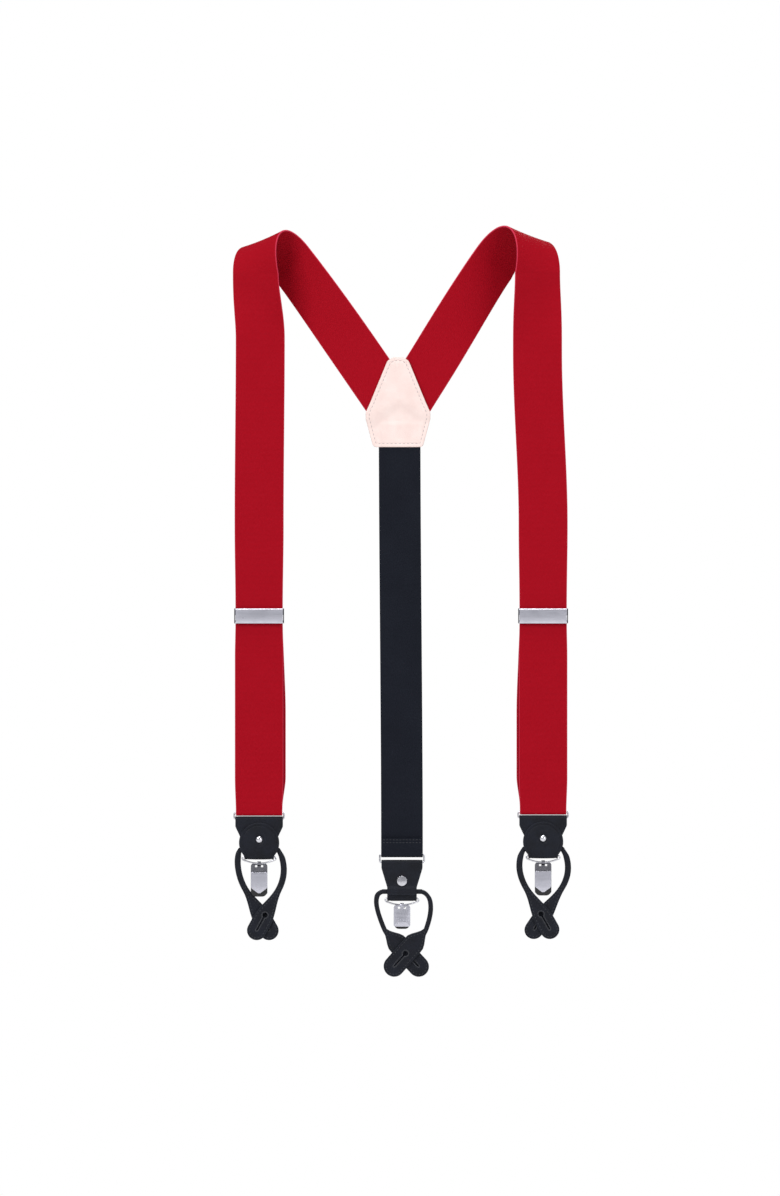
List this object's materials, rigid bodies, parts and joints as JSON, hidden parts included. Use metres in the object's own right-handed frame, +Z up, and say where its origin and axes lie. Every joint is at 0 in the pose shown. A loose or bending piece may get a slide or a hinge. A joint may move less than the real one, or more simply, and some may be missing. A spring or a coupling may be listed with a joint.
{
  "type": "suspenders",
  "caption": "Y-back suspenders: red front straps with sliding adjusters, leather yoke, black elastic back strap, and ends with both clips and crossed button loops.",
  "frame": {"origin": "midway between the two shoulder loops, on the bar or shoulders that they rest on", "axes": "+Z up along the hanging straps, +X to the viewer's right, +Y away from the viewer, towards the yoke"},
  "size_m": [0.2386, 0.0431, 0.5335],
  "materials": {
    "red_webbing": "satin",
    "black_elastic": "matte",
    "black_leather": "satin",
    "pale_leather": "satin",
    "chrome": "polished",
    "spring_steel": "satin",
    "black_plastic": "matte"
  },
  "bodies": {
    "root": {"yoke_outer_leather": "black_leather", "yoke_lining": "pale_leather", "back_strap": "black_elastic", "left_strap": "red_webbing", "right_strap": "red_webbing"},
    "left_adjuster": {"left_adjuster_frame": "chrome", "left_adjuster_pin": "chrome", "left_adjuster_bar": "chrome", "left_strap_loop": "red_webbing"},
    "left_cover": {"left_adjuster_cover": "chrome"},
    "right_adjuster": {"right_adjuster_frame": "chrome", "right_adjuster_pin": "chrome", "right_adjuster_bar": "chrome", "right_strap_loop": "red_webbing"},
    "right_cover": {"right_adjuster_cover": "chrome"},
    "left_end": {"left_strap_ring": "chrome"},
    "left_tab": {"left_tab_base": "black_leather", "left_tab_shield": "black_leather", "left_rivet": "chrome", "left_loop_core": "black_leather"},
    "left_d_ring": {"left_d_ring": "chrome"},
    "left_clip": {"left_clip_body": "chrome", "left_clip_pin": "chrome", "left_clip_spring": "spring_steel"},
    "left_lever": {"left_clip_lever": "chrome"},
    "left_jaw": {"left_clip_jaw": "chrome", "left_clip_pad": "black_plastic"},
    "left_ear_a": {"left_ear_a": "black_leather"},
    "left_ear_b": {"left_ear_b": "black_leather"},
    "right_end": {"right_strap_ring": "chrome"},
    "right_tab": {"right_tab_base": "black_leather", "right_tab_shield": "black_leather", "right_rivet": "chrome", "right_loop_core": "black_leather"},
    "right_d_ring": {"right_d_ring": "chrome"},
    "right_clip": {"right_clip_body": "chrome", "right_clip_pin": "chrome", "right_clip_spring": "spring_steel"},
    "right_lever": {"right_clip_lever": "chrome"},
    "right_jaw": {"right_clip_jaw": "chrome", "right_clip_pad": "black_plastic"},
    "right_ear_a": {"right_ear_a": "black_leather"},
    "right_ear_b": {"right_ear_b": "black_leather"},
    "back_ring": {"back_strap_ring": "chrome"},
    "back_tab": {"back_tab_base": "black_leather", "back_tab_shield": "black_leather", "back_rivet": "chrome", "back_loop_core": "black_leather"},
    "back_d_ring": {"back_d_ring": "chrome"},
    "back_clip": {"back_clip_body": "chrome", "back_clip_pin": "chrome", "back_clip_spring": "spring_steel"},
    "back_lever": {"back_clip_lever": "chrome"},
    "back_jaw": {"back_clip_jaw": "chrome", "back_clip_pad": "black_plastic"},
    "back_ear_a": {"back_ear_a": "black_leather"},
    "back_ear_b": {"back_ear_b": "black_leather"}
  },
  "joints": [
    {"name": "left_adjuster_slide", "type": "slide", "parent": "root", "child": "left_adjuster", "axis": [0, 0, -1], "range_m": [-0.06, 0.06]},
    {"name": "left_cover_hinge", "type": "hinge", "parent": "left_adjuster", "child": "left_cover", "pos_m": [-0.1, -0.0162, -0.2472], "axis": [-1, 0, 0], "range_deg": [0, 80]},
    {"name": "right_adjuster_slide", "type": "slide", "parent": "root", "child": "right_adjuster", "axis": [0, 0, -1], "range_m": [-0.06, 0.06]},
    {"name": "right_cover_hinge", "type": "hinge", "parent": "right_adjuster", "child": "right_cover", "pos_m": [0.1016, -0.0162, -0.2472], "axis": [-1, 0, 0], "range_deg": [0, 80]},
    {"name": "left_end_slide", "type": "slide", "parent": "left_adjuster", "child": "left_end", "axis": [0, 0, -1], "range_m": [-0.03, 0.03], "deforming": ["left_strap_loop"]},
    {"name": "left_tab_hinge", "type": "hinge", "parent": "left_end", "child": "left_tab", "pos_m": [-0.1, -0.01265, -0.3954], "axis": [1, 0, 0], "range_deg": [-40, 40]},
    {"name": "left_d_ring_hinge", "type": "hinge", "parent": "left_tab", "child": "left_d_ring", "pos_m": [-0.1, -0.01265, -0.4223], "axis": [1, 0, 0], "range_deg": [-30, 30]},
    {"name": "left_clip_hinge", "type": "hinge", "parent": "left_d_ring", "child": "left_clip", "pos_m": [-0.1, -0.01265, -0.427], "axis": [1, 0, 0], "range_deg": [-30, 30]},
    {"name": "left_lever_hinge", "type": "hinge", "parent": "left_clip", "child": "left_lever", "pos_m": [-0.1, -0.01295, -0.43408], "axis": [-1, 0, 0], "range_deg": [0, 100]},
    {"name": "left_jaw_hinge", "type": "hinge", "parent": "left_clip", "child": "left_jaw", "pos_m": [-0.1, -0.01295, -0.43408], "axis": [-1, 0, 0], "range_deg": [0, 25]},
    {"name": "left_ear_a_spread", "type": "hinge", "parent": "left_tab", "child": "left_ear_a", "pos_m": [-0.1135, -0.01265, -0.4175], "axis": [0, 1, 0], "range_deg": [0, 30], "stiffness_Nm_per_rad": 0.02},
    {"name": "left_ear_b_spread", "type": "hinge", "parent": "left_tab", "child": "left_ear_b", "pos_m": [-0.0865, -0.01265, -0.4175], "axis": [0, -1, 0], "range_deg": [0, 30], "stiffness_Nm_per_rad": 0.02},
    {"name": "right_end_slide", "type": "slide", "parent": "right_adjuster", "child": "right_end", "axis": [0, 0, -1], "range_m": [-0.03, 0.03], "deforming": ["right_strap_loop"]},
    {"name": "right_tab_hinge", "type": "hinge", "parent": "right_end", "child": "right_tab", "pos_m": [0.1016, -0.01265, -0.3946], "axis": [1, 0, 0], "range_deg": [-40, 40]},
    {"name": "right_d_ring_hinge", "type": "hinge", "parent": "right_tab", "child": "right_d_ring", "pos_m": [0.1016, -0.01265, -0.4215], "axis": [1, 0, 0], "range_deg": [-30, 30]},
    {"name": "right_clip_hinge", "type": "hinge", "parent": "right_d_ring", "child": "right_clip", "pos_m": [0.1016, -0.01265, -0.4262], "axis": [1, 0, 0], "range_deg": [-30, 30]},
    {"name": "right_lever_hinge", "type": "hinge", "parent": "right_clip", "child": "right_lever", "pos_m": [0.1016, -0.01295, -0.43328], "axis": [-1, 0, 0], "range_deg": [0, 100]},
    {"name": "right_jaw_hinge", "type": "hinge", "parent": "right_clip", "child": "right_jaw", "pos_m": [0.1016, -0.01295, -0.43328], "axis": [-1, 0, 0], "range_deg": [0, 25]},
    {"name": "right_ear_a_spread", "type": "hinge", "parent": "right_tab", "child": "right_ear_a", "pos_m": [0.0881, -0.01265, -0.4167], "axis": [0, 1, 0], "range_deg": [0, 30], "stiffness_Nm_per_rad": 0.02},
    {"name": "right_ear_b_spread", "type": "hinge", "parent": "right_tab", "child": "right_ear_b", "pos_m": [0.1151, -0.01265, -0.4167], "axis": [0, -1, 0], "range_deg": [0, 30], "stiffness_Nm_per_rad": 0.02},
    {"name": "back_ring_hinge", "type": "hinge", "parent": "root", "child": "back_ring", "pos_m": [0.0014, 0.00265, -0.4207], "axis": [-1, 0, 0], "range_deg": [-20, 20]},
    {"name": "back_tab_hinge", "type": "hinge", "parent": "back_ring", "child": "back_tab", "pos_m": [0.0014, 0.00265, -0.4263], "axis": [-1, 0, 0], "range_deg": [-40, 40]},
    {"name": "back_d_ring_hinge", "type": "hinge", "parent": "back_tab", "child": "back_d_ring", "pos_m": [0.0014, 0.00265, -0.4518], "axis": [-1, 0, 0], "range_deg": [-30, 30]},
    {"name": "back_clip_hinge", "type": "hinge", "parent": "back_d_ring", "child": "back_clip", "pos_m": [0.0014, 0.00265, -0.4565], "axis": [-1, 0, 0], "range_deg": [-30, 30]},
    {"name": "back_lever_hinge", "type": "hinge", "parent": "back_clip", "child": "back_lever", "pos_m": [0.0014, 0.00295, -0.4616], "axis": [1, 0, 0], "range_deg": [0, 100]},
    {"name": "back_jaw_hinge", "type": "hinge", "parent": "back_clip", "child": "back_jaw", "pos_m": [0.0014, 0.00295, -0.4616], "axis": [1, 0, 0], "range_deg": [0, 25]},
    {"name": "back_ear_a_spread", "type": "hinge", "parent": "back_tab", "child": "back_ear_a", "pos_m": [0.0149, 0.00265, -0.447], "axis": [0, -1, 0], "range_deg": [0, 30], "stiffness_Nm_per_rad": 0.02},
    {"name": "back_ear_b_spread", "type": "hinge", "parent": "back_tab", "child": "back_ear_b", "pos_m": [-0.0121, 0.00265, -0.447], "axis": [0, 1, 0], "range_deg": [0, 30], "stiffness_Nm_per_rad": 0.02}
  ],
  "couplings": [
    {"joint": "left_end_slide", "follows": "left_adjuster_slide", "ratio": -0.5},
    {"joint": "left_jaw_hinge", "follows": "left_lever_hinge", "ratio": 0.25},
    {"joint": "right_end_slide", "follows": "right_adjuster_slide", "ratio": -0.5},
    {"joint": "right_jaw_hinge", "follows": "right_lever_hinge", "ratio": 0.25},
    {"joint": "back_jaw_hinge", "follows": "back_lever_hinge", "ratio": 0.25}
  ]
}
